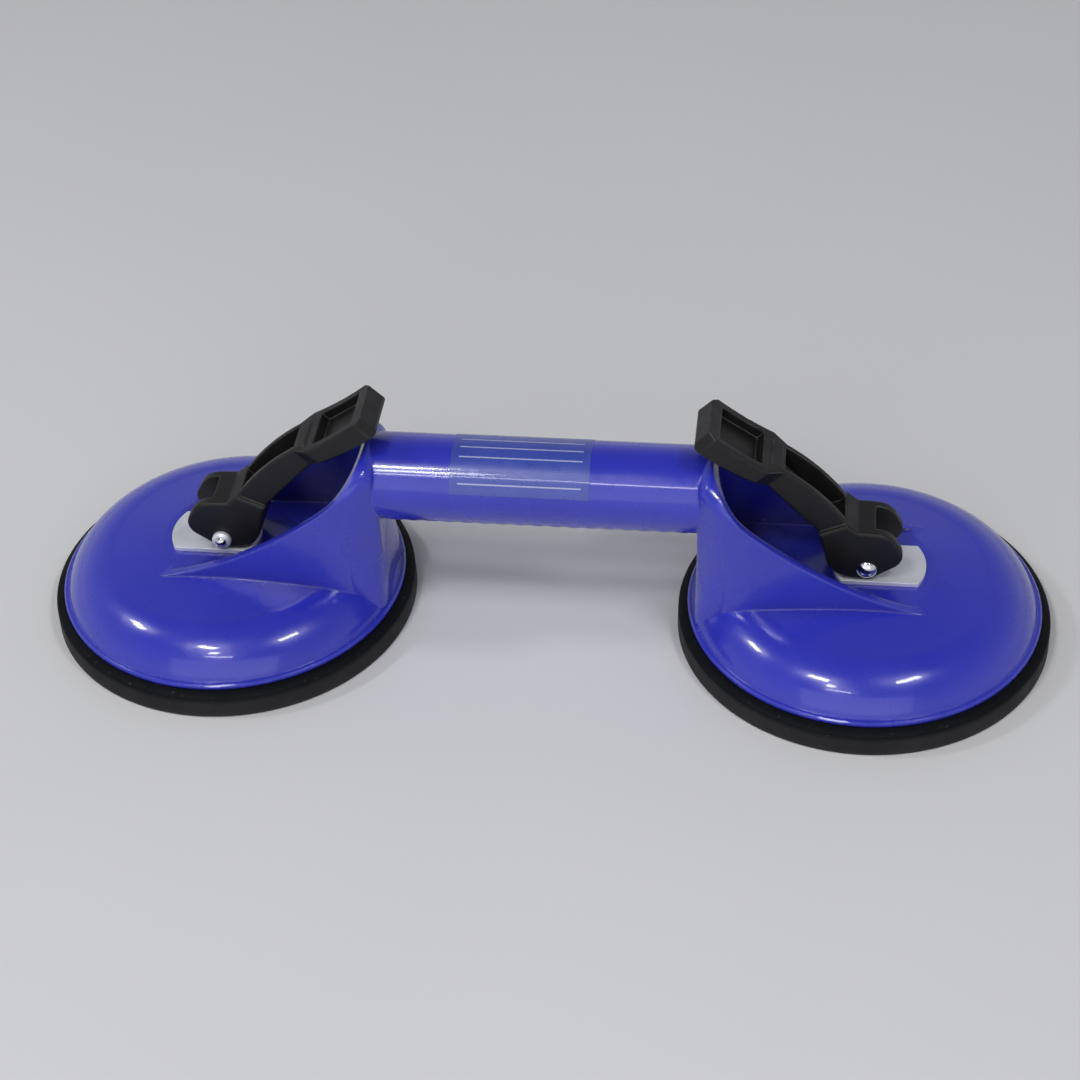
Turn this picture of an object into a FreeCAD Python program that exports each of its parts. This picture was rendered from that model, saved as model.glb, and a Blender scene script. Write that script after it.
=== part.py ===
import FreeCAD, Part
import math
import os
from FreeCAD import Vector

# Twin-cup suction lifter for tiles, in millimetres. The origin is on the floor, midway between
# the cups. X runs along the handle, Z is up, and -Y is the side of the right pin's head.
# A cup is built about its own axis with +X towards the handle, and then placed at either end.

# Arrangement
CUP_SPACING = 208.4
SEAT_HEIGHT = 25.0
RUNNING_CLEARANCE = 0.05
LOOSE_CLEARANCE = 0.5
CONTACT_GAP = 0.05

# Rubber pad
PAD_TOP_RADIUS = 60.0
PAD_LIP_FLARE = 0.2
PAD_EDGE_HEIGHT = 7.4
PAD_HEIGHT = 8.6
PAD_RIM_WIDTH = 12.0
PAD_RECESS = 0.8
DIAPHRAGM_THICKNESS = 3.2

# Steel disc bonded to the pad, and the stem riveted into it
PAD_PLATE_RADIUS = 28.0
PAD_PLATE_THICKNESS = 2.0
STEM_RADIUS = 5.0
STEM_FLAT_WIDTH = 8.0
STEM_FLAT_LEAD = 1.0
STEM_COLLAR_RADIUS = 7.5
STEM_COLLAR_HEIGHT = 1.6
STEM_EYE_RADIUS = 4.4

# Dome of each cup
RIM_RADIUS = 57.0
RIM_BEAD_HEIGHT = 2.0
RIM_BEAD_CHAMFER = 0.5
RIM_STEP = 1.6
SHOULDER_RUN = 17.0
CROWN_DROP = 2.0
CROWN_FLAT_RADIUS = 22.0
SHELL_THICKNESS = 3.0
BOSS_RADIUS = 9.0
BOSS_DEPTH = 3.2
RIB_COUNT = 8
RIB_THICKNESS = 2.4
RIB_DEPTH = 3.0

# Tower and wings that carry the handle
WING_HALF_WIDTH = 21.5
WING_WALL = 2.8
WING_TIP = (-20.0, 1.0)
WING_ROOT = (1.1, 5.6)
WING_WAIST = (28.1, 7.4)
WING_NECK = (43.2, 5.9)
WING_TOP = (50.6, 16.6)
TOWER_FACE = 53.6
TOWER_ARC_REACH = 17.6
TOWER_ROUNDING = 5.0
TOWER_ARCH_RISE = 0.4

# Handle
HANDLE_RADIUS = 14.0
HANDLE_HEIGHT = 53.6
HANDLE_FLAT_DEPTH = 2.9
GRIP_LOBE_COUNT = 17
GRIP_LOBE_PITCH = 5.7
GRIP_LOBE_RISE = 0.7
LABEL_START = -27.0
LABEL_LENGTH = 44.0
LABEL_THICKNESS = 0.15
LABEL_BACK_ANGLE = 20.0
LABEL_FRONT_ANGLE = 162.5

# Wear plate under the lever
WEAR_PLATE_THICKNESS = 1.5
WEAR_PLATE_HALF_WIDTH = 9.25
WEAR_PLATE_OUTER = -19.0
WEAR_PLATE_INNER = 10.5
WEAR_PLATE_BULGE = 2.6

# Lever and its pin
PIN_RADIUS = 2.5
PIN_HEAD_RADIUS = 3.3
PIN_HEAD_HEIGHT = 1.5
PIN_TAIL = 3.2
PIN_TAIL_RADIUS = 1.9
PIN_TAIL_DOME = 0.9
PIN_ABOVE_PLATE = 4.3
CLIP_RADIUS = 3.1
CLIP_THICKNESS = 2.0
CLIP_CHAMFER = 0.8

# Cam foot of the lever: places across and above the pin
FOOT_HALF_WIDTH = 8.7
CHEEK_SLOT = 0.6
CAM_GAP = 0.15
LOCK_ANGLE = 118.0
CAM_NOSE = (-5.6, 5.5)
CAM_NOSE_RADIUS = 5.3
CAM_TOE = -1.2
CAM_HEEL = 4.0
LOCK_FLAT_LENGTH = 2.6
FOOT_CREST = ((-7.0, 12.8), (-2.8, 14.5))
FOOT_SHELF = (3.4, 14.8)
FOOT_BACK = ((13.4, 5.3), (10.6, -1.1))
FOOT_ROUNDING = 1.0
SLOT_CROWN = 6.2
SLOT_BRIDGE = -2.0

# Lever above its foot: places along the arm from the pin, and off its middle line
LEVER_REST_ANGLE = 46.1
ARM_HALF_WIDTH = 7.3
ARM_WALL = 2.0
ARM_WEB = 2.2
ARM_ROOT = (12.0, -2.0)
ARM_SHOULDER = (13.9, 6.4)
ARM_STEP = (17.5, 7.2)
ARM_HEEL = (20.7, -2.0)
ARM_CREST = (32.7, 7.9)
ARM_BAR = 46.1
ARM_END = (49.5, 5.0)
CHANNEL_START = (18.4, 1.2)
GRIP_HALF_WIDTH = 10.6
GRIP_WALL = 2.6
GRIP_NECK = (45.1, -1.4)
GRIP_BELLY = ((60.0, -5.3), (71.4, -7.3))
GRIP_LIP = ((72.2, -6.2), (72.3, 0.0))
GRIP_TOP = ((60.4, 1.7), (48.6, 4.8))
GRIP_NECK_TOP = 6.0
GRIP_SHOULDER = 50.0
GRIP_CORNER = 2.5
GRIP_POCKET = ((52.5, 0.2), (68.3, -3.0))
LEVER_ROUNDING = 0.6

# Return spring
SPRING_MEAN_RADIUS = 12.5
SPRING_WIRE_RADIUS = 0.8
SPRING_TURNS = 2.5
SPRING_SECTIONS = 10

# Worked out from the values above
UP = Vector(0, 0, 1)
LENGTH_TOLERANCE = 1e-4
PAD_BOTTOM_RADIUS = PAD_TOP_RADIUS + PAD_LIP_FLARE
PAD_FLOOR = PAD_RECESS + DIAPHRAGM_THICKNESS
PLATE_TOP = PAD_FLOOR + PAD_PLATE_THICKNESS
BEAD_TOP = PAD_HEIGHT + RIM_BEAD_HEIGHT
WALL_RADIUS = RIM_RADIUS - RIM_STEP
SHOULDER_TOP = SEAT_HEIGHT - CROWN_DROP
SHOULDER_RISE = SHOULDER_TOP - BEAD_TOP
SHOULDER_BEND = (SHOULDER_RUN ** 2 + SHOULDER_RISE ** 2) / (2 * SHOULDER_RISE)
SHOULDER_CENTRE = (WALL_RADIUS - SHOULDER_RUN, SHOULDER_TOP - SHOULDER_BEND)
CEILING = SEAT_HEIGHT - SHELL_THICKNESS
WEAR_TOP = SEAT_HEIGHT + WEAR_PLATE_THICKNESS
PIN_HEIGHT = WEAR_TOP + PIN_ABOVE_PLATE
SLOT_HALF_WIDTH = STEM_RADIUS + CHEEK_SLOT
TOWER_ARC_CENTRE = TOWER_FACE - TOWER_ARC_REACH


def xz(u, v, depth=0.0):
    return Vector(u, depth, v)


def xy(u, v, height=0.0):
    return Vector(u, v, height)


def yz(u, v, along=0.0):
    return Vector(along, u, v)


def wire(plane, level, start, *steps):
    """A closed wire: a point is reached by a straight run, a pair of points by an arc."""
    edges = []
    here = plane(start[0], start[1], level)
    for step in steps + (start,):
        is_arc = isinstance(step[0], tuple)
        end_point = step[1] if is_arc else step
        there = plane(end_point[0], end_point[1], level)
        if here.distanceToPoint(there) < 1e-7:
            continue
        if is_arc:
            middle = plane(step[0][0], step[0][1], level)
            edges.append(Part.Arc(here, middle, there).toShape())
        else:
            edges.append(Part.LineSegment(here, there).toShape())
        here = there
    return Part.Wire(edges)


def prism(outline, travel):
    return Part.Face(outline).extrude(travel)


def turned(outline):
    return Part.Face(outline).revolve(Vector(0, 0, 0), UP, 360)


def arc_point(centre, radius, degrees):
    angle = math.radians(degrees)
    return (centre[0] + radius * math.cos(angle), centre[1] + radius * math.sin(angle))


def round_sides(solid, half_width, radius):
    """Rounds the edges of a prism's two flat sides, which stand at half_width from the middle."""
    edges = []
    for edge in solid.Edges:
        limits = edge.BoundBox
        is_flat = limits.YLength < LENGTH_TOLERANCE
        if is_flat and abs(abs(limits.YMax) - half_width) < LENGTH_TOLERANCE:
            edges.append(edge)
    return solid.makeFillet(radius, edges)


# ---------------------------------------------------------------- pad, disc, stem and spring
def rubber_pad():
    rim_inner = PAD_TOP_RADIUS - PAD_RIM_WIDTH
    outline = wire(xz, 0, (0, PAD_RECESS), (rim_inner - PAD_RECESS, PAD_RECESS), (rim_inner, 0),
                   (PAD_BOTTOM_RADIUS, 0), (PAD_TOP_RADIUS, PAD_EDGE_HEIGHT),
                   (RIM_RADIUS + LOOSE_CLEARANCE, PAD_HEIGHT), (rim_inner, PAD_HEIGHT),
                   (rim_inner - PAD_HEIGHT + PAD_FLOOR, PAD_FLOOR), (0, PAD_FLOOR))
    return turned(outline)


def pad_plate():
    disc = Part.makeCylinder(PAD_PLATE_RADIUS, PAD_PLATE_THICKNESS, Vector(0, 0, PAD_FLOOR))
    hole = Part.makeCylinder(STEM_RADIUS, PAD_PLATE_THICKNESS, Vector(0, 0, PAD_FLOOR))
    return disc.cut(hole)


def stem():
    """Rod from the disc up to the pin; two flats above the casting let the lever swing past."""
    shank = Part.makeCylinder(STEM_RADIUS, PIN_HEIGHT - PAD_FLOOR, Vector(0, 0, PAD_FLOOR))
    collar = Part.makeCylinder(STEM_COLLAR_RADIUS, STEM_COLLAR_HEIGHT, Vector(0, 0, PLATE_TOP))
    eye = Part.makeCylinder(STEM_EYE_RADIUS, 2 * STEM_RADIUS,
                            Vector(0, -STEM_RADIUS, PIN_HEIGHT), Vector(0, 1, 0))
    flat_from = WEAR_TOP - STEM_FLAT_LEAD
    tang_box = Part.makeBox(STEM_FLAT_WIDTH, 4 * STEM_RADIUS, PIN_HEIGHT,
                            Vector(-STEM_FLAT_WIDTH / 2, -2 * STEM_RADIUS, flat_from))
    round_part = Part.makeCylinder(STEM_RADIUS, flat_from - PAD_FLOOR, Vector(0, 0, PAD_FLOOR))
    body = round_part.fuse(shank.common(tang_box)).fuse(eye).fuse(collar).removeSplitter()
    cross_hole = Part.makeCylinder(PIN_RADIUS + RUNNING_CLEARANCE, 4 * STEM_RADIUS,
                                   Vector(0, -2 * STEM_RADIUS, PIN_HEIGHT), Vector(0, 1, 0))
    return body.cut(cross_hole)


def spring():
    bottom = PLATE_TOP + SPRING_WIRE_RADIUS + CONTACT_GAP
    top = CEILING - SPRING_WIRE_RADIUS - CONTACT_GAP
    height = top - bottom
    steps = round(SPRING_TURNS * SPRING_SECTIONS)
    sections = []
    for index in range(steps + 1):
        angle = 2 * math.pi * index / SPRING_SECTIONS
        centre = Vector(SPRING_MEAN_RADIUS * math.cos(angle), SPRING_MEAN_RADIUS * math.sin(angle),
                        bottom + height * index / steps)
        heading = Vector(-SPRING_MEAN_RADIUS * math.sin(angle), SPRING_MEAN_RADIUS * math.cos(angle),
                         height / (2 * math.pi * SPRING_TURNS))
        sections.append(Part.Wire(Part.Circle(centre, heading, SPRING_WIRE_RADIUS).toShape()))
    return Part.makeLoft(sections, True, True)


# ---------------------------------------------------------------- casting
def shoulder(inset):
    """Start, middle and end of the shoulder's arc, moved inwards by an inset."""
    bend = SHOULDER_BEND - inset
    low_angle = math.degrees(math.acos((SHOULDER_RUN - inset) / bend))
    return [arc_point(SHOULDER_CENTRE, bend, angle) for angle in (low_angle, (low_angle + 90) / 2, 90)]


def dome():
    low, middle, high = shoulder(0)
    outline = wire(xz, 0, (0, PAD_HEIGHT), (RIM_RADIUS - RIM_BEAD_CHAMFER, PAD_HEIGHT),
                   (RIM_RADIUS, PAD_HEIGHT + RIM_BEAD_CHAMFER), (RIM_RADIUS, BEAD_TOP - RIM_BEAD_CHAMFER),
                   (RIM_RADIUS - RIM_BEAD_CHAMFER, BEAD_TOP),
                   low, (middle, high), (CROWN_FLAT_RADIUS, SEAT_HEIGHT), (0, SEAT_HEIGHT))
    return turned(outline)


def dome_cavity():
    """The room inside a dome, with a boss for the stem and ribs that leave the spring free."""
    low, middle, high = shoulder(SHELL_THICKNESS)
    outline = wire(xz, 0, (0, PAD_HEIGHT), (low[0], PAD_HEIGHT), low, middle, high,
                   (CROWN_FLAT_RADIUS, CEILING), (0, CEILING))
    plan = tower_plan(WING_HALF_WIDTH - WING_WALL, TOWER_FACE - WING_WALL, 0)
    tower_core = prism(wire(xy, PAD_HEIGHT, *plan), Vector(0, 0, CEILING - PAD_HEIGHT))
    hollow = turned(outline).fuse(tower_core)
    boss = Part.makeCylinder(BOSS_RADIUS, BOSS_DEPTH, Vector(0, 0, CEILING - BOSS_DEPTH))
    hollow = hollow.cut(boss)
    rib_inner = SPRING_MEAN_RADIUS + 3 * SPRING_WIRE_RADIUS
    for index in range(RIB_COUNT):
        rib = Part.makeBox(WALL_RADIUS - rib_inner, RIB_THICKNESS, SEAT_HEIGHT,
                           Vector(rib_inner, -RIB_THICKNESS / 2, CEILING - RIB_DEPTH))
        rib.rotate(Vector(0, 0, 0), UP, (index + 0.5) * 360 / RIB_COUNT)
        hollow = hollow.cut(rib)
    return hollow


def tower_plan(half_width, face, start):
    """Plan of the tower: straight wings from a start, closed in an arc towards the handle."""
    reach = face - TOWER_ARC_CENTRE
    face_half = math.sqrt(half_width ** 2 - reach ** 2)
    centre = (TOWER_ARC_CENTRE, 0)
    corner = math.degrees(math.atan2(face_half, reach))
    middle = (90 + corner) / 2
    return ((start, -half_width), (TOWER_ARC_CENTRE, -half_width),
            (arc_point(centre, half_width, -middle), (face, -face_half)), (face, face_half),
            (arc_point(centre, half_width, middle), (TOWER_ARC_CENTRE, half_width)),
            (start, half_width))


def arch(half_width, rise):
    """A block along X from the floor to a half-elliptical head about the handle's axis."""
    centre = Vector(0, 0, HANDLE_HEIGHT)
    across = centre + Vector(0, half_width, 0)
    upward = centre + Vector(0, 0, rise)
    is_wide = half_width > rise
    ellipse = Part.Ellipse(across, upward, centre) if is_wide else Part.Ellipse(upward, across, centre)
    begin = 0 if is_wide else -math.pi / 2
    head = Part.ArcOfEllipse(ellipse, begin, begin + math.pi).toShape()
    ends = [vertex.Point for vertex in head.Vertexes]
    feet = [Vector(0, end.y, 0) for end in ends]
    corners = [ends[1], feet[1], feet[0], ends[0]]
    sides = [Part.LineSegment(a, b).toShape() for a, b in zip(corners, corners[1:])]
    block = prism(Part.Wire([head] + sides), Vector(4 * TOWER_FACE, 0, 0))
    block.translate(Vector(-2 * TOWER_FACE, 0, 0))
    return block


def wing_profile():
    """Everything under the sweeping top edge of the wings, seen from the side."""
    edge = [(WING_TIP[0], SEAT_HEIGHT - WING_TIP[1]), (WING_ROOT[0], SEAT_HEIGHT + WING_ROOT[1]),
            (WING_WAIST[0], HANDLE_HEIGHT - WING_WAIST[1]), (WING_NECK[0], HANDLE_HEIGHT + WING_NECK[1]),
            (WING_TOP[0], HANDLE_HEIGHT + WING_TOP[1])]
    curve = Part.BSplineCurve()
    curve.interpolate([xz(u, v, -2 * WING_HALF_WIDTH) for u, v in edge])
    first = curve.StartPoint
    last = curve.EndPoint
    beyond_face = 2 * TOWER_FACE
    corners = [last, Vector(beyond_face, last.y, last.z), Vector(beyond_face, last.y, 0),
               Vector(first.x, first.y, 0), first]
    runs = [Part.LineSegment(a, b).toShape() for a, b in zip(corners, corners[1:])]
    return prism(Part.Wire([curve.toShape()] + runs), Vector(0, 4 * WING_HALF_WIDTH, 0))


def tower():
    plan = tower_plan(WING_HALF_WIDTH, TOWER_FACE, 2 * WING_TIP[0])
    block = prism(wire(xy, BEAD_TOP, *plan), Vector(0, 0, 2 * HANDLE_HEIGHT))
    block = block.common(arch(WING_HALF_WIDTH, HANDLE_RADIUS + TOWER_ARCH_RISE))
    soft = []
    for edge in block.Edges:
        limits = edge.BoundBox
        is_on_end = limits.XMin > TOWER_ARC_CENTRE - LENGTH_TOLERANCE
        is_past_wing = limits.XMax > TOWER_ARC_CENTRE + LENGTH_TOLERANCE
        if is_on_end and is_past_wing and limits.ZMax > BEAD_TOP + LENGTH_TOLERANCE:
            soft.append(edge)
    return block.makeFillet(TOWER_ROUNDING, soft).common(wing_profile())


def scoop():
    """The hollow between the wings, open upwards and outwards."""
    half_width = WING_HALF_WIDTH - WING_WALL
    plan = tower_plan(half_width, TOWER_FACE - WING_WALL, 2 * WING_TIP[0])
    block = prism(wire(xy, SEAT_HEIGHT, *plan), Vector(0, 0, 2 * HANDLE_HEIGHT))
    return block.common(arch(half_width, HANDLE_RADIUS + TOWER_ARCH_RISE - WING_WALL))


def to_left(shape):
    copy = shape.copy()
    copy.translate(Vector(-CUP_SPACING / 2, 0, 0))
    return copy


def to_right(shape):
    return to_left(shape).mirror(Vector(0, 0, 0), Vector(1, 0, 0))


def handle():
    reach = CUP_SPACING / 2 - WING_TOP[0]
    bar = Part.makeCylinder(HANDLE_RADIUS, 2 * reach, Vector(-reach, 0, HANDLE_HEIGHT), Vector(1, 0, 0))
    valley = HANDLE_HEIGHT - HANDLE_RADIUS + HANDLE_FLAT_DEPTH
    grip_start = -GRIP_LOBE_COUNT * GRIP_LOBE_PITCH / 2
    steps = []
    for index in range(GRIP_LOBE_COUNT):
        lobe_start = grip_start + index * GRIP_LOBE_PITCH
        steps.append(((lobe_start + GRIP_LOBE_PITCH / 2, valley - GRIP_LOBE_RISE),
                      (lobe_start + GRIP_LOBE_PITCH, valley)))
    top = HANDLE_HEIGHT + 2 * HANDLE_RADIUS
    outline = wire(xz, -2 * HANDLE_RADIUS, (-reach, valley), (grip_start, valley), *steps,
                   (reach, valley), (reach, top), (-reach, top))
    return bar.common(prism(outline, Vector(0, 4 * HANDLE_RADIUS, 0)))


def body_casting():
    outside = dome().fuse(tower())
    bore = Part.makeCylinder(STEM_RADIUS + RUNNING_CLEARANCE, SEAT_HEIGHT, Vector(0, 0, PAD_HEIGHT))
    hollow = scoop().fuse(dome_cavity()).fuse(bore)
    whole = to_left(outside).fuse(to_right(outside)).fuse(handle())
    return whole.cut(to_left(hollow)).cut(to_right(hollow)).removeSplitter()


def handle_label():
    film = Part.makeCylinder(HANDLE_RADIUS + LABEL_THICKNESS, LABEL_LENGTH,
                             Vector(LABEL_START, 0, HANDLE_HEIGHT), Vector(1, 0, 0))
    bar = Part.makeCylinder(HANDLE_RADIUS, LABEL_LENGTH,
                            Vector(LABEL_START, 0, HANDLE_HEIGHT), Vector(1, 0, 0))
    reach = 2 * HANDLE_RADIUS
    back = arc_point((0, HANDLE_HEIGHT), reach, LABEL_BACK_ANGLE)
    front = arc_point((0, HANDLE_HEIGHT), reach, LABEL_FRONT_ANGLE)
    sector = wire(yz, LABEL_START, (0, HANDLE_HEIGHT), back,
                  (back[0], back[1] + reach), (front[0], front[1] + 2 * reach), front)
    return film.cut(bar).common(prism(sector, Vector(LABEL_LENGTH, 0, 0)))


# ---------------------------------------------------------------- wear plate, lever and pin
def wear_plate():
    outer = WEAR_PLATE_OUTER + WEAR_PLATE_BULGE
    inner = WEAR_PLATE_INNER - WEAR_PLATE_BULGE
    side = WEAR_PLATE_HALF_WIDTH
    outline = wire(xy, SEAT_HEIGHT, (outer, -side), (inner, -side),
                   ((WEAR_PLATE_INNER, 0), (inner, side)), (outer, side),
                   ((WEAR_PLATE_OUTER, 0), (outer, -side)))
    plate = prism(outline, Vector(0, 0, WEAR_PLATE_THICKNESS))
    hole = Part.makeCylinder(STEM_RADIUS + LOOSE_CLEARANCE, WEAR_PLATE_THICKNESS,
                             Vector(0, 0, SEAT_HEIGHT))
    return plate.cut(hole)


def arm_point(along, off):
    """A point of the lever given along its arm and off it, as seen from the side."""
    angle = math.radians(LEVER_REST_ANGLE)
    return (along * math.cos(angle) - off * math.sin(angle),
            PIN_HEIGHT + along * math.sin(angle) + off * math.cos(angle))


def from_pin(u, v):
    return (u, PIN_HEIGHT + v)


def lever_foot():
    """Cam and cheeks: a sole that rests, a nose that lifts and a flat that locks."""
    sole = CAM_GAP - PIN_ABOVE_PLATE
    toe = (CAM_TOE, sole)
    to_nose = math.hypot(CAM_NOSE[0] - toe[0], CAM_NOSE[1] - toe[1])
    bearing = math.degrees(math.atan2(CAM_NOSE[1] - toe[1], CAM_NOSE[0] - toe[0]))
    flank_normal = bearing + math.degrees(math.asin(CAM_NOSE_RADIUS / to_nose)) + 90
    lock_normal = -90 - LOCK_ANGLE
    nose_middle = arc_point(CAM_NOSE, CAM_NOSE_RADIUS, (flank_normal + 360 + lock_normal) / 2)
    lock_start = arc_point(CAM_NOSE, CAM_NOSE_RADIUS, lock_normal)
    lock_end = arc_point(lock_start, LOCK_FLAT_LENGTH, lock_normal - 90)
    outline = [from_pin(CAM_HEEL, sole), from_pin(*toe),
               from_pin(*arc_point(CAM_NOSE, CAM_NOSE_RADIUS, flank_normal)),
               (from_pin(*nose_middle), from_pin(*lock_start)), from_pin(*lock_end),
               (from_pin(*FOOT_CREST[0]), from_pin(*FOOT_CREST[1])), from_pin(*FOOT_SHELF),
               arm_point(*ARM_STEP), arm_point(*ARM_HEEL), from_pin(*FOOT_BACK[0]),
               (from_pin(*FOOT_BACK[1]), from_pin(CAM_HEEL, sole))]
    solid = prism(wire(xz, -FOOT_HALF_WIDTH, *outline), Vector(0, 2 * FOOT_HALF_WIDTH, 0))
    solid = round_sides(solid, FOOT_HALF_WIDTH, FOOT_ROUNDING)
    eye_room = STEM_EYE_RADIUS + LOOSE_CLEARANCE
    below = -2 * FOOT_HALF_WIDTH
    above = 2 * FOOT_SHELF[1]
    slot = wire(xz, -SLOT_HALF_WIDTH, from_pin(eye_room, below), from_pin(eye_room, SLOT_CROWN),
                from_pin(SLOT_BRIDGE, SLOT_CROWN), from_pin(SLOT_BRIDGE, above), from_pin(-above, above),
                from_pin(-above, below))
    return solid.cut(prism(slot, Vector(0, 2 * SLOT_HALF_WIDTH, 0)))


def lever_arm():
    outline = wire(xz, -ARM_HALF_WIDTH, arm_point(*ARM_ROOT), arm_point(ARM_END[0], GRIP_NECK[1]),
                   arm_point(*ARM_END), (arm_point(*ARM_CREST), arm_point(*ARM_SHOULDER)))
    solid = prism(outline, Vector(0, 2 * ARM_HALF_WIDTH, 0))
    solid = round_sides(solid, ARM_HALF_WIDTH, LEVER_ROUNDING)
    floor = GRIP_NECK[1] + ARM_WEB
    inner = ARM_HALF_WIDTH - ARM_WALL
    above = 2 * ARM_CREST[1]
    channel = wire(xz, -inner, arm_point(*CHANNEL_START), arm_point(ARM_BAR, floor),
                   arm_point(ARM_BAR, above), arm_point(CHANNEL_START[0], above))
    return solid.cut(prism(channel, Vector(0, 2 * inner, 0)))


def lever_grip():
    belly_middle, belly_end = GRIP_BELLY
    lip_low, lip_high = GRIP_LIP
    top_middle, top_end = GRIP_TOP
    outline = wire(xz, -GRIP_HALF_WIDTH, arm_point(*GRIP_NECK), arm_point(top_end[0], GRIP_NECK[1]),
                   (arm_point(*belly_middle), arm_point(*belly_end)), arm_point(*lip_low),
                   arm_point(*lip_high), (arm_point(*top_middle), arm_point(*top_end)),
                   arm_point(GRIP_NECK[0], GRIP_NECK_TOP))
    solid = prism(outline, Vector(0, 2 * GRIP_HALF_WIDTH, 0))
    solid = round_sides(solid, GRIP_HALF_WIDTH, LEVER_ROUNDING)
    half = [(GRIP_NECK[0], ARM_HALF_WIDTH), (GRIP_SHOULDER, GRIP_HALF_WIDTH),
            (lip_low[0] - GRIP_CORNER, GRIP_HALF_WIDTH), (lip_high[0], GRIP_HALF_WIDTH - GRIP_CORNER)]
    mirrored = [(along, -side) for along, side in reversed(half)]
    reach = 2 * GRIP_HALF_WIDTH
    trim = prism(wire(xy, -reach, *half, *mirrored), Vector(0, 0, 2 * reach))
    trim.rotate(Vector(0, 0, 0), Vector(0, 1, 0), -LEVER_REST_ANGLE)
    trim.translate(Vector(0, 0, PIN_HEIGHT))
    pocket_half = GRIP_HALF_WIDTH - GRIP_WALL
    pocket_start, pocket_end = GRIP_POCKET
    pocket = wire(xz, -pocket_half, arm_point(*pocket_start), arm_point(*pocket_end),
                  arm_point(pocket_end[0], reach), arm_point(pocket_start[0], reach))
    return solid.common(trim).cut(prism(pocket, Vector(0, 2 * pocket_half, 0)))


def lever():
    whole = lever_foot().fuse(lever_arm()).fuse(lever_grip()).removeSplitter()
    hole = Part.makeCylinder(PIN_RADIUS, 4 * FOOT_HALF_WIDTH,
                             Vector(0, -2 * FOOT_HALF_WIDTH, PIN_HEIGHT), Vector(0, 1, 0))
    return whole.cut(hole)


def dome_middle(radius, height):
    """Middle of the arc over a shallow dome, out from its axis and up from its base."""
    ball = (radius ** 2 + height ** 2) / (2 * height)
    half_angle = math.asin(radius / ball) / 2
    return (ball * math.sin(half_angle), ball * math.cos(half_angle) - ball + height)


def turned_along_pin(outline):
    """A shape of revolution about the pin's axis, from radii and places along the pin."""
    shape = turned(outline)
    shape.rotate(Vector(0, 0, 0), Vector(1, 0, 0), -90)
    shape.translate(Vector(0, 0, PIN_HEIGHT))
    return shape


def lever_pin():
    head_back = -FOOT_HALF_WIDTH - CONTACT_GAP
    seat = FOOT_HALF_WIDTH + CONTACT_GAP
    shaft = PIN_RADIUS - RUNNING_CLEARANCE
    tail_end = FOOT_HALF_WIDTH + PIN_TAIL
    dome_base = tail_end - PIN_TAIL_DOME
    head_out, head_up = dome_middle(PIN_HEAD_RADIUS, PIN_HEAD_HEIGHT)
    tail_out, tail_up = dome_middle(PIN_TAIL_RADIUS, PIN_TAIL_DOME)
    return turned_along_pin(wire(
        xz, 0, (0, head_back - PIN_HEAD_HEIGHT),
        ((head_out, head_back - head_up), (PIN_HEAD_RADIUS, head_back)), (shaft, head_back),
        (shaft, seat), (PIN_TAIL_RADIUS, seat), (PIN_TAIL_RADIUS, dome_base),
        ((tail_out, dome_base + tail_up), (0, tail_end))))


def pin_clip():
    """Push-on ring that holds the pin by its tail."""
    seat = FOOT_HALF_WIDTH + CONTACT_GAP
    top = seat + CLIP_THICKNESS
    return turned_along_pin(wire(
        xz, 0, (PIN_TAIL_RADIUS, seat), (CLIP_RADIUS, seat), (CLIP_RADIUS, top - CLIP_CHAMFER),
        (CLIP_RADIUS - CLIP_CHAMFER, top), (PIN_TAIL_RADIUS, top)))


CUP_PARTS = {
    "rubber_pad": rubber_pad,
    "pad_plate": pad_plate,
    "stem": stem,
    "spring": spring,
    "wear_plate": wear_plate,
    "lever": lever,
    "lever_pin": lever_pin,
    "pin_clip": pin_clip,
}
# The left cup's pin is pushed in from +Y, the right one's from -Y.
PUSHED_FROM_BEHIND = ("lever_pin", "pin_clip")


def main():
    os.makedirs("parts", exist_ok=True)
    shapes = {"body_casting": body_casting(), "handle_label": handle_label()}
    for name, build in CUP_PARTS.items():
        shape = build()
        shapes[name + "_right"] = to_right(shape)
        if name in PUSHED_FROM_BEHIND:
            shape.rotate(Vector(0, 0, 0), UP, 180)
        shapes[name + "_left"] = to_left(shape)
    for name, shape in shapes.items():
        shape.exportStep("parts/" + name + ".step")
        print(name, shape.isValid(), len(shape.Solids), round(shape.Volume, 1))


main()
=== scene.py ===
import math

import bmesh
import bpy
from mathutils import Matrix, Vector


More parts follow.
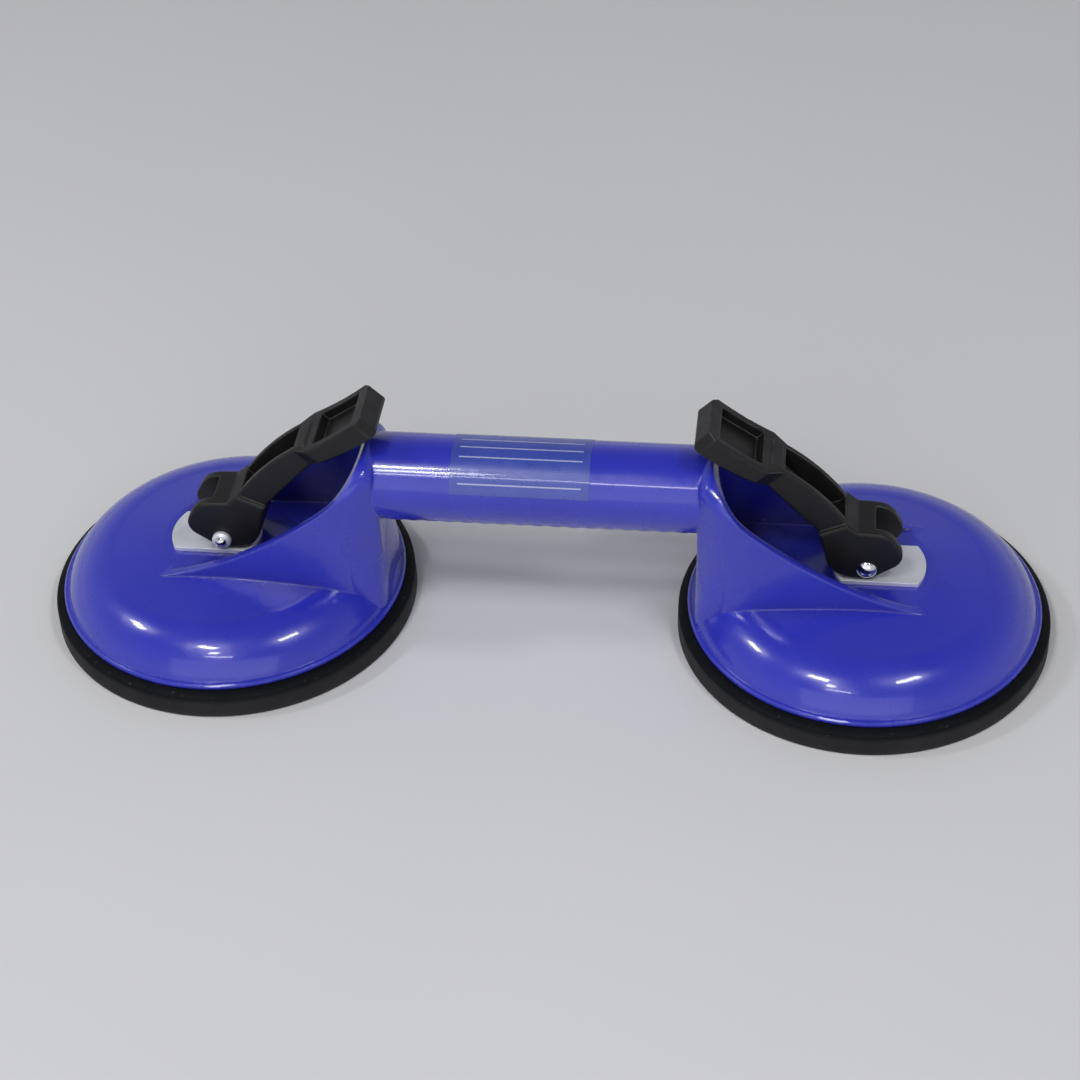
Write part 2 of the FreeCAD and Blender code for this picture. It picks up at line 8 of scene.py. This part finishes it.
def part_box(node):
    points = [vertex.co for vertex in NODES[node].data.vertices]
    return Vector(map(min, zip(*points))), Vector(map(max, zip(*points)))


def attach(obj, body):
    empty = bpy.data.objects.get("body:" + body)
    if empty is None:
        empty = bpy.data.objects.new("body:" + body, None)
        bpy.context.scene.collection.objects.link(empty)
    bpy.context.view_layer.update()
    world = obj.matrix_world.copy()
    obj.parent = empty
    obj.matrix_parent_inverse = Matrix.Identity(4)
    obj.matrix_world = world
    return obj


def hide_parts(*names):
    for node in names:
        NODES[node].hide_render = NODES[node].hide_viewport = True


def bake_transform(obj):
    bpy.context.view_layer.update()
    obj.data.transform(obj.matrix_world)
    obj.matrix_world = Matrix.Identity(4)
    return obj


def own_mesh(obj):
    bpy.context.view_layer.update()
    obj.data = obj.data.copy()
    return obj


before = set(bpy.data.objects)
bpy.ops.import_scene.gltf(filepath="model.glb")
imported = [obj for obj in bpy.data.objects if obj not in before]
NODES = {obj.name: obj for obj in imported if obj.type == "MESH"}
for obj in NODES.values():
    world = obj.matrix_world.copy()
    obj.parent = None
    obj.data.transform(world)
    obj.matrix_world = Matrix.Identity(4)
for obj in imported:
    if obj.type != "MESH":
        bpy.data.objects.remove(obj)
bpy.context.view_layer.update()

SIDES = ("left", "right")
MM = 0.001

# ---------------------------------------------------------------- sizes, in metres and degrees
EDGE_RADIUS = 0.7 * MM
TOWER_DEPTH = 30 * MM
HANDLE_RADIUS = 14 * MM

# Label: a film with thin rules, given by the angles at which they lie round the handle
LABEL_THICKNESS = 0.15 * MM
LABEL_RULES = (32, 68, 84, 100)
LABEL_RULE_WIDTH = 0.44 * MM
LABEL_RULE_LENGTH = 39 * MM

# Pads: a rim, a middle as wide as the disc, and a thin web of equal sectors between them
PAD_TURN_STEPS = 144
PAD_SECTORS = 12
PAD_WEB_STEPS = 6
PAD_SHARP_ANGLE = 30
PAD_RIM_WIDTH = 12 * MM
PAD_ROOT_WIDTH = 4.6 * MM
PAD_DISC_RADIUS = 28 * MM
PAD_HUB = 0.2 * MM
PAD_MEMBRANE_TOP = 4 * MM
PAD_RECESS = 0.8 * MM
PAD_RINGS = (8 * MM, 16 * MM, 24 * MM)
PAD_RING_WIDTH = 1.6 * MM
PAD_RING_HEIGHT = 0.5 * MM

# Rim section: grooves in its sole, the soft edges of its lip and side, and the slopes of its top and root
PAD_GROOVES = (3.2 * MM, 6.0 * MM, 8.8 * MM)
PAD_GROOVE_WIDTH = 1.4 * MM
PAD_GROOVE_FLOOR = 0.6 * MM
PAD_GROOVE_DEPTH = 0.7 * MM
PAD_SOLE_CHAMFER = (0.4 * MM, 0.1 * MM)
PAD_SOLE_SLOPE = (2.0 * MM, 0.3 * MM)
PAD_LIP_FLARE = 0.2 * MM
PAD_LIP_ROUNDING = (0.5 * MM, 0.6 * MM)
PAD_LIP_DRAFT = 0.02 * MM
PAD_SIDE_TOP = 1.7 * MM
PAD_SIDE_CORNER = 1.2 * MM
PAD_SLOPE_START = (0.6 * MM, 0.85 * MM)
PAD_OVERHANG = 2.5 * MM
PAD_ROOT_SHOULDER = (2.6 * MM, 2.2 * MM)
PAD_ROOT_FOOT = (4.0 * MM, 0.6 * MM)

# Scallops round the lower corners of the grip, in line with those of its flat underside
SCALLOP_COUNT = 17
SCALLOP_PITCH = 5.7 * MM
SCALLOP_RISE = 0.3 * MM
SCALLOP_SINK = 0.1 * MM
SCALLOP_ROOT = 1.5 * MM
SCALLOP_ANGLES = (28, 54)
SCALLOP_STEPS = 8
SCALLOP_ROWS = 10

# Flare at the foot of each tower: forms as reach along, reach across and squareness
FLARE_CENTRE = 68.2 * MM
FLARE_FOOT = (18.6 * MM, 19.0 * MM, 6.7)
FLARE_TOP = (17.45 * MM, 21.35 * MM, 2.5)
FLARE_INSIDE = (16.2 * MM, 20.1 * MM, 2.5)
FLARE_SPAN = 67
FLARE_LOW = 10.4 * MM
FLARE_HIGH = 42 * MM
FLARE_LEVELS = 16
FLARE_TURNS = 40
ENAMELLED_SHARP_ANGLE = 35

# Floor and sky
FLOOR_REACH = 6.0
FLOOR_LEVEL = -0.2 * MM
FLOOR_FADE_START = 0.6
FLOOR_FADE_END = 1.7
SKY_COLOUR = (0.62, 0.63, 0.66, 1.0)
SKY_AT_HORIZON = 1.05
SKY_OVERHEAD = 0.2
SKY_OVERHEAD_FROM = 0.9

# Lamps: name, azimuth, elevation, distance, size and power in watts
LAMPS = (
    ("key_softbox", -30, 60, 1.5, (0.26, 0.12), 4.2),
    ("left_softbox", -90, 48, 1.5, (0.22, 0.12), 3.2),
    ("right_softbox", 52, 59, 1.5, (0.30, 0.12), 4.2),
    ("handle_strip", -10, 44, 1.5, (0.36, 0.05), 1.2),
    ("handle_glint", -16.5, 51, 1.5, (0.11, 0.12), 1.4),
    ("front_fill", 0, 18, 2.4, (3.0, 1.6), 11.0),
)

# Camera
CAMERA_TARGET = Vector((0.001, -0.0125, 0.040))
CAMERA_AZIMUTH = 8.54
CAMERA_ELEVATION = 40.39
CAMERA_DISTANCE = 0.7325
CAMERA_ROLL = -2.78
CAMERA_LENS = 76.98


def linear(red, green, blue):
    """A colour given in display values from 0 to 255, as the shaders want it."""
    def channel(value):
        value /= 255
        return value / 12.92 if value <= 0.04045 else ((value + 0.055) / 1.055) ** 2.4
    return (channel(red), channel(green), channel(blue), 1.0)


def placed(data):
    """A new object of the data's name, in the scene."""
    made = bpy.data.objects.new(data.name, data)
    bpy.context.scene.collection.objects.link(made)
    return made


def dress(obj, material):
    obj.data.materials.clear()
    obj.data.materials.append(material)


# ---------------------------------------------------------------- shader building
class Shader:
    """A material with one Principled shader, and short ways to add what varies over it."""

    def __init__(self, name, colour, roughness, **settings):
        self.material = bpy.data.materials.new(name)
        self.material.use_nodes = True
        self.tree = self.material.node_tree
        self.surface = self.tree.nodes["Principled BSDF"]
        self.surface.inputs["Base Color"].default_value = colour
        self.surface.inputs["Roughness"].default_value = roughness
        for socket, value in settings.items():
            self.surface.inputs[socket.replace("_", " ")].default_value = value
        self.place = self.tree.nodes.new("ShaderNodeTexCoord").outputs["Object"]
        self.normal = None

    def node(self, kind, inputs=None, **settings):
        made = self.tree.nodes.new(kind)
        for key, value in settings.items():
            setattr(made, key, value)
        for key, value in (inputs or {}).items():
            if isinstance(value, bpy.types.NodeSocket):
                self.tree.links.new(value, made.inputs[key])
            else:
                made.inputs[key].default_value = value
        return made

    def math(self, operation, a, b=0.0):
        return self.node("ShaderNodeMath", {0: a, 1: b}, operation=operation).outputs[0]

    def near(self, value, target, tolerance):
        """1 where the value is within the tolerance of the target, and 0 elsewhere."""
        inputs = {0: value, 1: target, 2: tolerance}
        return self.node("ShaderNodeMath", inputs, operation="COMPARE").outputs[0]

    def noise(self, scale, detail=2.0, roughness=0.5, stretch=None):
        place = self.place
        if stretch:
            place = self.node("ShaderNodeMapping", {"Vector": place, "Scale": stretch}).outputs[0]
        inputs = {"Vector": place, "Scale": scale, "Detail": detail, "Roughness": roughness}
        return self.node("ShaderNodeTexNoise", inputs).outputs["Fac"]

    def range(self, value, low, high, to_low, to_high):
        inputs = {"Value": value, "From Min": low, "From Max": high, "To Min": to_low, "To Max": to_high}
        return self.node("ShaderNodeMapRange", inputs).outputs["Result"]

    def mix(self, factor, a, b, blend="MIX"):
        inputs = {0: factor, 6: a, 7: b}
        return self.node("ShaderNodeMix", inputs, data_type="RGBA", blend_type=blend).outputs[2]

    def axes(self):
        """The place along X, Y and Z."""
        return self.node("ShaderNodeSeparateXYZ", {0: self.place}).outputs

    def edges(self, radius, low=0.015, high=0.16):
        """1 on sharp outer and inner edges and 0 on flat ground."""
        soft = self.node("ShaderNodeBevel", {"Radius": radius}, samples=8).outputs[0]
        flat = self.node("ShaderNodeNewGeometry").outputs["Normal"]
        turned = self.node("ShaderNodeVectorMath", {0: soft, 1: flat}, operation="DOT_PRODUCT")
        return self.range(self.math("SUBTRACT", 1.0, turned.outputs["Value"]), low, high, 0.0, 1.0)

    def round_edges(self, radius):
        self.normal = self.node("ShaderNodeBevel", {"Radius": radius}, samples=8).outputs[0]

    def bump(self, height, strength, distance):
        inputs = {"Height": height, "Strength": strength, "Distance": distance}
        if self.normal:
            inputs["Normal"] = self.normal
        self.normal = self.node("ShaderNodeBump", inputs).outputs[0]

    def set(self, socket, value):
        self.tree.links.new(value, self.surface.inputs[socket])

    def done(self):
        if self.normal:
            self.set("Normal", self.normal)
        return self.material


def blue_enamel():
    """Glossy baked enamel on a die casting: a little orange peel, edges lighter in patches as wear and a
    painted highlight, and painted shade darkening its hollows.
    """
    shader = Shader("blue_enamel", linear(41, 47, 178), 0.24, Coat_Weight=0.55, Coat_Roughness=0.06)
    drift = shader.range(shader.noise(18, 3), 0.3, 0.7, 0.0, 1.0)
    paint = shader.mix(drift, linear(37, 43, 169), linear(44, 50, 179))
    # Edges lighter in patches: partly wear, partly a painted highlight on edges and creases.
    patches = shader.range(shader.noise(160, 4), 0.42, 0.6, 0.1, 0.55)
    worn_and_highlit = shader.math("MULTIPLY", shader.edges(EDGE_RADIUS), patches)
    paint = shader.mix(worn_and_highlit, paint, linear(104, 112, 214))
    specks = shader.range(shader.noise(900, 2), 0.74, 0.82, 0.0, 0.15)
    paint = shader.mix(specks, paint, linear(92, 100, 200))
    # Painted shade: the paint goes dark blue where ambient occlusion finds hollows, in the scoops and by the
    # lever feet.
    open_sky = shader.node("ShaderNodeAmbientOcclusion", {"Distance": TOWER_DEPTH}, samples=8).outputs["AO"]
    painted_hollow_shade = shader.range(open_sky, 0.25, 0.7, 0.85, 0.0)
    shader.set("Base Color", shader.mix(painted_hollow_shade, paint, linear(14, 16, 66)))
    shader.set("Roughness", shader.range(shader.noise(70, 4), 0.3, 0.7, 0.2, 0.32))
    shader.round_edges(EDGE_RADIUS * 2)
    shader.bump(shader.noise(420, 2), 0.08, 0.3 * MM)
    shader.bump(shader.noise(55, 1), 0.08, 1.5 * MM)
    return shader.done()


def black_rubber(top):
    """Matt moulded rubber with a fine grain: its foot painted lighter as a painted highlight, and its upper
    part painted dark as painted shade below the casting.
    """
    shader = Shader("black_rubber", linear(34, 34, 36), 0.66, Specular_IOR_Level=0.12)
    cloud = shader.range(shader.noise(40, 5, 0.6), 0.35, 0.7, 0.0, 1.0)
    rubber = shader.mix(cloud, linear(34, 34, 36), linear(42, 42, 43))
    height = shader.axes()["Z"]
    # Painted shade: the upper part of the pad, under the casting's overhang, painted near black.
    painted_shade_under_casting = shader.range(height, top * 0.6, top * 0.84, 0.0, 1.0)
    rubber = shader.mix(painted_shade_under_casting, rubber, linear(6, 9, 14))
    # Painted highlight: the foot painted lighter towards its lower edge.
    rubbed_and_highlit = shader.range(height, 0.0, top * 0.2, 0.6, 0.0)
    rubber = shader.mix(rubbed_and_highlit, rubber, linear(58, 58, 60))
    dust = shader.range(shader.noise(700, 3), 0.66, 0.78, 0.0, 0.4)
    shader.set("Base Color", shader.mix(dust, rubber, linear(84, 84, 82)))
    shader.set("Roughness", shader.range(shader.noise(120, 4), 0.3, 0.7, 0.5, 0.7))
    shader.round_edges(EDGE_RADIUS * 0.6)
    shader.bump(shader.noise(1500, 3), 0.2, 0.2 * MM)
    return shader.done()


def black_plastic():
    """Glass-filled plastic, satin from the mould, edges lighter in patches, partly rubbed by fingers and
    partly a painted highlight.
    """
    shader = Shader("black_plastic", linear(19, 19, 20), 0.45, Specular_IOR_Level=0.36)
    cloud = shader.range(shader.noise(60, 5, 0.6), 0.3, 0.7, 0.0, 1.0)
    moulded = shader.mix(cloud, linear(15, 15, 16), linear(22, 22, 23))
    # Edges lighter in patches: partly rubbed by fingers, partly a painted highlight.
    patches = shader.range(shader.noise(240, 3), 0.4, 0.65, 0.15, 0.75)
    rubbed_and_highlit = shader.math("MULTIPLY", shader.edges(EDGE_RADIUS), patches)
    shader.set("Base Color", shader.mix(rubbed_and_highlit, moulded, linear(84, 84, 84)))
    shader.set("Roughness", shader.range(shader.noise(180, 4), 0.3, 0.7, 0.38, 0.54))
    shader.round_edges(EDGE_RADIUS * 1.4)
    shader.bump(shader.noise(1300, 3), 0.18, 0.18 * MM)
    shader.bump(shader.noise(90, 1), 0.12, 1.2 * MM)
    return shader.done()


def plated_steel(name, colour, roughness, grain, metallic=1.0):
    """Plated or polished steel with a faint grain; dull plating is a little less metallic."""
    shader = Shader(name, colour, roughness, Metallic=metallic)
    cloud = shader.range(shader.noise(110, 4), 0.3, 0.7, 0.9, 1.0)
    shader.set("Base Color", shader.mix(1.0, cloud, colour, "MULTIPLY"))
    streaks = shader.noise(420, 2, stretch=(1.0, 0.35, 1.0))
    shader.set("Roughness", shader.range(streaks, 0.3, 0.7, roughness * 0.85, roughness * 1.2))
    shader.round_edges(EDGE_RADIUS * 0.5)
    shader.bump(streaks, grain, 0.1 * MM)
    return shader.done()


def label_film(axis_height):
    """A hazy clear film round the handle, bare but for thin pale rules."""
    shader = Shader("label_film", linear(54, 70, 160), 0.3, Coat_Weight=0.4, Coat_Roughness=0.08)
    place = shader.axes()
    height = shader.math("SUBTRACT", place["Z"], axis_height)
    around = shader.math("ARCTAN2", height, shader.math("MULTIPLY", place["Y"], -1.0))
    haze = shader.range(shader.noise(90, 4), 0.3, 0.7, 0.0, 1.0)
    film = shader.mix(haze, linear(50, 66, 156), linear(59, 75, 165))
    half_width = LABEL_RULE_WIDTH / 2 / HANDLE_RADIUS
    rules = [shader.near(around, math.radians(angle), half_width) for angle in LABEL_RULES]
    low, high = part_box("handle_label")
    inside = shader.near(place["X"], (low[0] + high[0]) / 2, LABEL_RULE_LENGTH / 2)
    lined = rules[0]
    for rule in rules[1:]:
        lined = shader.math("ADD", lined, rule)
    ink = shader.math("MULTIPLY", shader.math("MULTIPLY", lined, inside), 0.5)
    shader.set("Base Color", shader.mix(ink, film, linear(214, 219, 232)))
    shader.set("Roughness", shader.range(shader.noise(300, 3), 0.3, 0.7, 0.24, 0.38))
    shader.bump(shader.noise(60, 2), 0.06, 1.0 * MM)
    return shader.done()


# ---------------------------------------------------------------- rubber pads
def swept(name, outline, centre, start, stop, steps):
    """A closed outline of (radius, height) points swept round an upright axis."""
    whole = stop - start >= 360
    columns = steps if whole else steps + 1
    vertices = []
    for column in range(columns):
        angle = math.radians(start + (stop - start) * column / steps)
        for radius, height in outline:
            place = (centre.x + radius * math.cos(angle), centre.y + radius * math.sin(angle), height)
            vertices.append(place)
    count = len(outline)
    faces = []
    for column in range(steps):
        here = column * count
        there = (column + 1) % columns * count
        for row in range(count):
            following = (row + 1) % count
            faces.append((here + row, there + row, there + following, here + following))
    mesh = bpy.data.meshes.new(name)
    mesh.from_pydata(vertices, [], faces)
    mesh.polygons.foreach_set("use_smooth", [True] * len(faces))
    mesh.set_sharp_from_angle(angle=math.radians(PAD_SHARP_ANGLE))
    return placed(mesh)


def rounded(start, corner, end):
    """Points of a soft corner between two places."""
    steps = 4
    points = []
    for index in range(steps + 1):
        share = index / steps
        first = (1 - share) ** 2
        second = 2 * share * (1 - share)
        third = share ** 2
        points.append(tuple(first * a + second * b + third * c for a, b, c in zip(start, corner, end)))
    return points


def pad_rim_outline(outer, top):
    """The rim's section: grooved sole, soft lip, side, sloping top and the root of the web."""
    inner = outer - PAD_RIM_WIDTH
    side = outer - PAD_LIP_FLARE
    seam = inner - PAD_ROOT_WIDTH
    slope_run, slope_rise = PAD_SOLE_SLOPE
    chamfer_run, chamfer_rise = PAD_SOLE_CHAMFER
    outline = [(inner - slope_run, PAD_RECESS + slope_rise), (inner, chamfer_rise), (inner + chamfer_run, 0)]
    for groove in PAD_GROOVES:
        middle = inner + groove
        for offset, depth in ((-PAD_GROOVE_WIDTH, 0), (-PAD_GROOVE_FLOOR, PAD_GROOVE_DEPTH),
                              (PAD_GROOVE_FLOOR, PAD_GROOVE_DEPTH), (PAD_GROOVE_WIDTH, 0)):
            outline.append((middle + offset / 2, depth))
    lip_run, lip_rise = PAD_LIP_ROUNDING
    outline += rounded((outer - lip_run, 0), (outer, 0), (outer - PAD_LIP_DRAFT, lip_rise))
    start_run, start_drop = PAD_SLOPE_START
    outline += rounded((side, top - PAD_SIDE_TOP), (side, top - PAD_SIDE_CORNER),
                       (side - start_run, top - start_drop))
    outline += [(side - PAD_OVERHANG, top), (inner, top)]
    for run, rise in (PAD_ROOT_SHOULDER, PAD_ROOT_FOOT):
        outline.append((inner - run, PAD_MEMBRANE_TOP + rise))
    return outline + [(seam, PAD_MEMBRANE_TOP), (seam, PAD_RECESS)]


def pad_middle_outline():
    """The section of the middle under the disc, with low rings on its underside."""
    outline = [(PAD_HUB, PAD_RECESS)]
    for ring in PAD_RINGS:
        outline += [(ring - PAD_RING_WIDTH / 2, PAD_RECESS), (ring, PAD_RECESS - PAD_RING_HEIGHT),
                    (ring + PAD_RING_WIDTH / 2, PAD_RECESS)]
    return outline + [(PAD_DISC_RADIUS, PAD_RECESS), (PAD_DISC_RADIUS, PAD_MEMBRANE_TOP),
                      (PAD_HUB, PAD_MEMBRANE_TOP)]


def pad_web_outline(seam):
    """The section of the thin web between the middle and the rim."""
    radii = [PAD_DISC_RADIUS + (seam - PAD_DISC_RADIUS) * index / PAD_WEB_STEPS
             for index in range(PAD_WEB_STEPS + 1)]
    return ([(radius, PAD_RECESS) for radius in radii]
            + [(radius, PAD_MEMBRANE_TOP) for radius in reversed(radii)])


def pad_pieces(side, material):
    """A pad as it is moulded: a rim that stays, a middle bonded to the disc and a web between."""
    node = "rubber_pad_" + side
    low, high = (Vector(corner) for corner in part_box(node))
    centre = (low + high) / 2
    outer = (high.x - low.x) / 2
    seam = outer - PAD_RIM_WIDTH - PAD_ROOT_WIDTH
    rim = swept("pad_rim_" + side, pad_rim_outline(outer, high.z), centre, 0, 360, PAD_TURN_STEPS)
    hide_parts(node)
    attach(rim, "body")
    middle = swept("pad_middle_" + side, pad_middle_outline(), centre, 0, 360, PAD_TURN_STEPS)
    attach(middle, "plunger_" + side)
    made = [rim, middle]
    turn = 360 / PAD_SECTORS
    for index in range(PAD_SECTORS):
        web = swept("pad_web_{}_{}".format(side, index + 1), pad_web_outline(seam), centre,
                    turn * index, turn * (index + 1), PAD_TURN_STEPS // PAD_SECTORS)
        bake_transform(web)
        made.append(web)
    for piece in made:
        dress(piece, material)


# ---------------------------------------------------------------- return springs
def return_coil(side, material):
    """The coil between dome and disc, copied whole and fixed to the body; it does not close up here as the
    plunger lifts the disc.
    """
    node = "spring_" + side
    mesh = NODES[node].data.copy()
    mesh.name = "return_coil_" + side
    made = placed(mesh)
    dress(made, material)
    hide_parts(node)
    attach(made, "body")
    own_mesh(made)


# ---------------------------------------------------------------- forms added to the casting
def enamelled(name, vertices, faces, material):
    """A closed enamelled form that belongs to the casting."""
    mesh = bpy.data.meshes.new(name)
    mesh.from_pydata(vertices, [], faces)
    shape = bmesh.new()
    shape.from_mesh(mesh)
    bmesh.ops.recalc_face_normals(shape, faces=shape.faces)
    shape.to_mesh(mesh)
    shape.free()
    mesh.polygons.foreach_set("use_smooth", [True] * len(faces))
    mesh.set_sharp_from_angle(angle=math.radians(ENAMELLED_SHARP_ANGLE))
    made = placed(mesh)
    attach(made, "body")
    dress(made, material)


def walls(rings, count):
    """Faces between neighbouring rings of a number of points each."""
    faces = []
    for ring in range(rings - 1):
        here = ring * count
        for row in range(count):
            following = (row + 1) % count
            faces.append((here + row, here + following, here + count + following, here + count + row))
    return faces


def grip_scallops(side, axis_height, material):
    """Ridges along one lower corner of the handle: side is -1 for the front and 1 for the back."""
    first, last = SCALLOP_ANGLES

    def corner(along, out, share):
        angle = math.radians(first + (last - first) * share)
        return (along, side * out * math.cos(angle), axis_height - out * math.sin(angle))

    columns = SCALLOP_COUNT * SCALLOP_STEPS + 1
    count = SCALLOP_ROWS + 2
    vertices = []
    for column in range(columns):
        along = (column / SCALLOP_STEPS - SCALLOP_COUNT / 2) * SCALLOP_PITCH
        crest = abs(math.sin(math.pi * column / SCALLOP_STEPS))
        for row in range(SCALLOP_ROWS):
            share = row / (SCALLOP_ROWS - 1)
            out = HANDLE_RADIUS - SCALLOP_SINK + SCALLOP_RISE * crest * min(1.0, 2 * share)
            vertices.append(corner(along, out, share))
        for share in (1.0, 0.0):
            vertices.append(corner(along, HANDLE_RADIUS - SCALLOP_ROOT, share))
    faces = walls(columns, count)
    for start in (0, (columns - 1) * count):
        faces.append(tuple(range(start, start + count)))
    enamelled("grip_scallops_front" if side < 0 else "grip_scallops_back", vertices, faces, material)


def plan_reach(form, angle):
    """How far a rounded-square plan reaches from its centre at an angle."""
    along, across, squareness = form
    run = abs(math.cos(angle)) / along
    rise = abs(math.sin(angle)) / across
    return (run ** squareness + rise ** squareness) ** (-1 / squareness)


def tower_flare(side, material):
    """The tower's end widens downwards to the rim: side is -1 for the left cup and 1 for the right."""
    count = 2 * (FLARE_TURNS + 1)
    there = range(FLARE_TURNS + 1)
    vertices = []
    for level in range(FLARE_LEVELS + 1):
        share = 1 - level / FLARE_LEVELS
        weights = (share, share, share ** 2)
        sizes = zip(FLARE_TOP, FLARE_FOOT, weights)
        outside = tuple(top + (foot - top) * weight for top, foot, weight in sizes)
        height = FLARE_HIGH + (FLARE_LOW - FLARE_HIGH) * share
        for form, order in ((outside, there), (FLARE_INSIDE, reversed(there))):
            for turn in order:
                angle = math.radians(FLARE_SPAN * (2 * turn / FLARE_TURNS - 1))
                reach = plan_reach(form, angle)
                along = side * (FLARE_CENTRE - reach * math.cos(angle))
                vertices.append((along, reach * math.sin(angle), height))
    faces = walls(FLARE_LEVELS + 1, count)
    for start in (0, FLARE_LEVELS * count):
        end = start + count - 1
        for turn in range(FLARE_TURNS):
            faces.append((start + turn, start + turn + 1, end - turn - 1, end - turn))
    enamelled("tower_flare_left" if side < 0 else "tower_flare_right", vertices, faces, material)


# ---------------------------------------------------------------- floor, light and camera
def floor():
    """A pale floor that fades into the sky before its far edge."""
    shader = Shader("pale_floor", linear(214, 214, 216), 0.55)
    shade = shader.range(shader.noise(2.5, 3), 0.3, 0.7, 0.0, 1.0)
    shader.set("Base Color", shader.mix(shade, linear(212, 212, 214), linear(217, 217, 219)))
    place = shader.axes()
    squares = [shader.math("POWER", place[axis], 2.0) for axis in ("X", "Y")]
    away = shader.math("SQRT", shader.math("ADD", squares[0], squares[1]))
    seen = shader.node("ShaderNodeLightPath").outputs["Is Camera Ray"]
    fade = shader.math("MULTIPLY", shader.range(away, FLOOR_FADE_START, FLOOR_FADE_END, 0.0, 1.0), seen)
    haze = shader.node("ShaderNodeEmission", {"Color": SKY_COLOUR, "Strength": SKY_AT_HORIZON}).outputs[0]
    mixed = shader.node("ShaderNodeMixShader", {0: fade, 1: shader.surface.outputs[0], 2: haze}).outputs[0]
    shader.tree.links.new(mixed, shader.tree.nodes["Material Output"].inputs["Surface"])
    quarters = ((-1, -1), (1, -1), (1, 1), (-1, 1))
    corners = [(x * FLOOR_REACH, y * FLOOR_REACH, FLOOR_LEVEL) for x, y in quarters]
    mesh = bpy.data.meshes.new("floor")
    mesh.from_pydata(corners, [], [(0, 1, 2, 3)])
    made = placed(mesh)
    dress(made, shader.done())


def heading(azimuth, elevation):
    """The way from the object to a place: azimuth 0 is towards -Y and 90 towards +X."""
    turn = math.radians(azimuth)
    lift = math.radians(elevation)
    return Vector((math.sin(turn) * math.cos(lift), -math.cos(turn) * math.cos(lift), math.sin(lift)))


def softbox(name, azimuth, elevation, distance, size, power):
    """A rectangular lamp that looks at the object."""
    data = bpy.data.lights.new(name, "AREA")
    data.shape = "RECTANGLE"
    data.size, data.size_y = size
    data.energy = power
    lamp = placed(data)
    way = heading(azimuth, elevation)
    lamp.location = way * distance
    lamp.rotation_euler = (-way).to_track_quat("-Z", "Y").to_euler()


def sky():
    """Plain soft light from all round, weaker overhead."""
    world = bpy.data.worlds.new("studio")
    bpy.context.scene.world = world
    world.use_nodes = True
    nodes = world.node_tree.nodes
    links = world.node_tree.links
    background = nodes["Background"]
    background.inputs["Color"].default_value = SKY_COLOUR
    way = nodes.new("ShaderNodeSeparateXYZ")
    fade = nodes.new("ShaderNodeMapRange")
    fade.inputs["From Max"].default_value = SKY_OVERHEAD_FROM
    fade.inputs["To Min"].default_value = SKY_AT_HORIZON
    fade.inputs["To Max"].default_value = SKY_OVERHEAD
    links.new(nodes.new("ShaderNodeTexCoord").outputs["Generated"], way.inputs[0])
    links.new(way.outputs["Z"], fade.inputs["Value"])
    links.new(fade.outputs["Result"], background.inputs["Strength"])


def camera():
    """A long lens from a little right of square, tilted slightly."""
    data = bpy.data.cameras.new("camera")
    data.lens = CAMERA_LENS
    made = placed(data)
    place = CAMERA_TARGET + heading(CAMERA_AZIMUTH, CAMERA_ELEVATION) * CAMERA_DISTANCE
    ahead = (CAMERA_TARGET - place).normalized()
    level = ahead.cross(Vector((0, 0, 1))).normalized()
    upright = level.cross(ahead)
    tilt = math.radians(CAMERA_ROLL)
    right = level * math.cos(tilt) + upright * math.sin(tilt)
    above = upright * math.cos(tilt) - level * math.sin(tilt)
    turned = Matrix((right, above, -ahead)).transposed().to_4x4()
    made.matrix_world = Matrix.Translation(place) @ turned
    bpy.context.scene.camera = made


# ---------------------------------------------------------------- the scene
def main():
    bpy.context.scene.view_settings.view_transform = "Standard"
    handle_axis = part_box("handle_label")[1][2] - HANDLE_RADIUS - LABEL_THICKNESS
    zinc = plated_steel("zinc_steel", linear(232, 234, 244), 0.42, 0.03, 0.5)
    materials = {
        "body_casting": blue_enamel(),
        "handle_label": label_film(handle_axis),
        "lever": black_plastic(),
        "lever_pin": plated_steel("bright_steel", linear(222, 223, 226), 0.14, 0.02),
        "wear_plate": zinc,
        "pad_plate": zinc,
        "stem": zinc,
        "pin_clip": zinc,
        "spring": plated_steel("spring_steel", linear(150, 150, 152), 0.3, 0.05),
    }
    for name, node in NODES.items():
        kind = name.replace("_left", "").replace("_right", "")
        if kind in materials:
            dress(node, materials[kind])
    rubber = black_rubber(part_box("rubber_pad_left")[1][2])
    for side in SIDES:
        pad_pieces(side, rubber)
        return_coil(side, materials["spring"])
    for side in (-1, 1):
        grip_scallops(side, handle_axis, materials["body_casting"])
        tower_flare(side, materials["body_casting"])
    floor()
    for lamp in LAMPS:
        softbox(*lamp)
    sky()
    camera()


main()
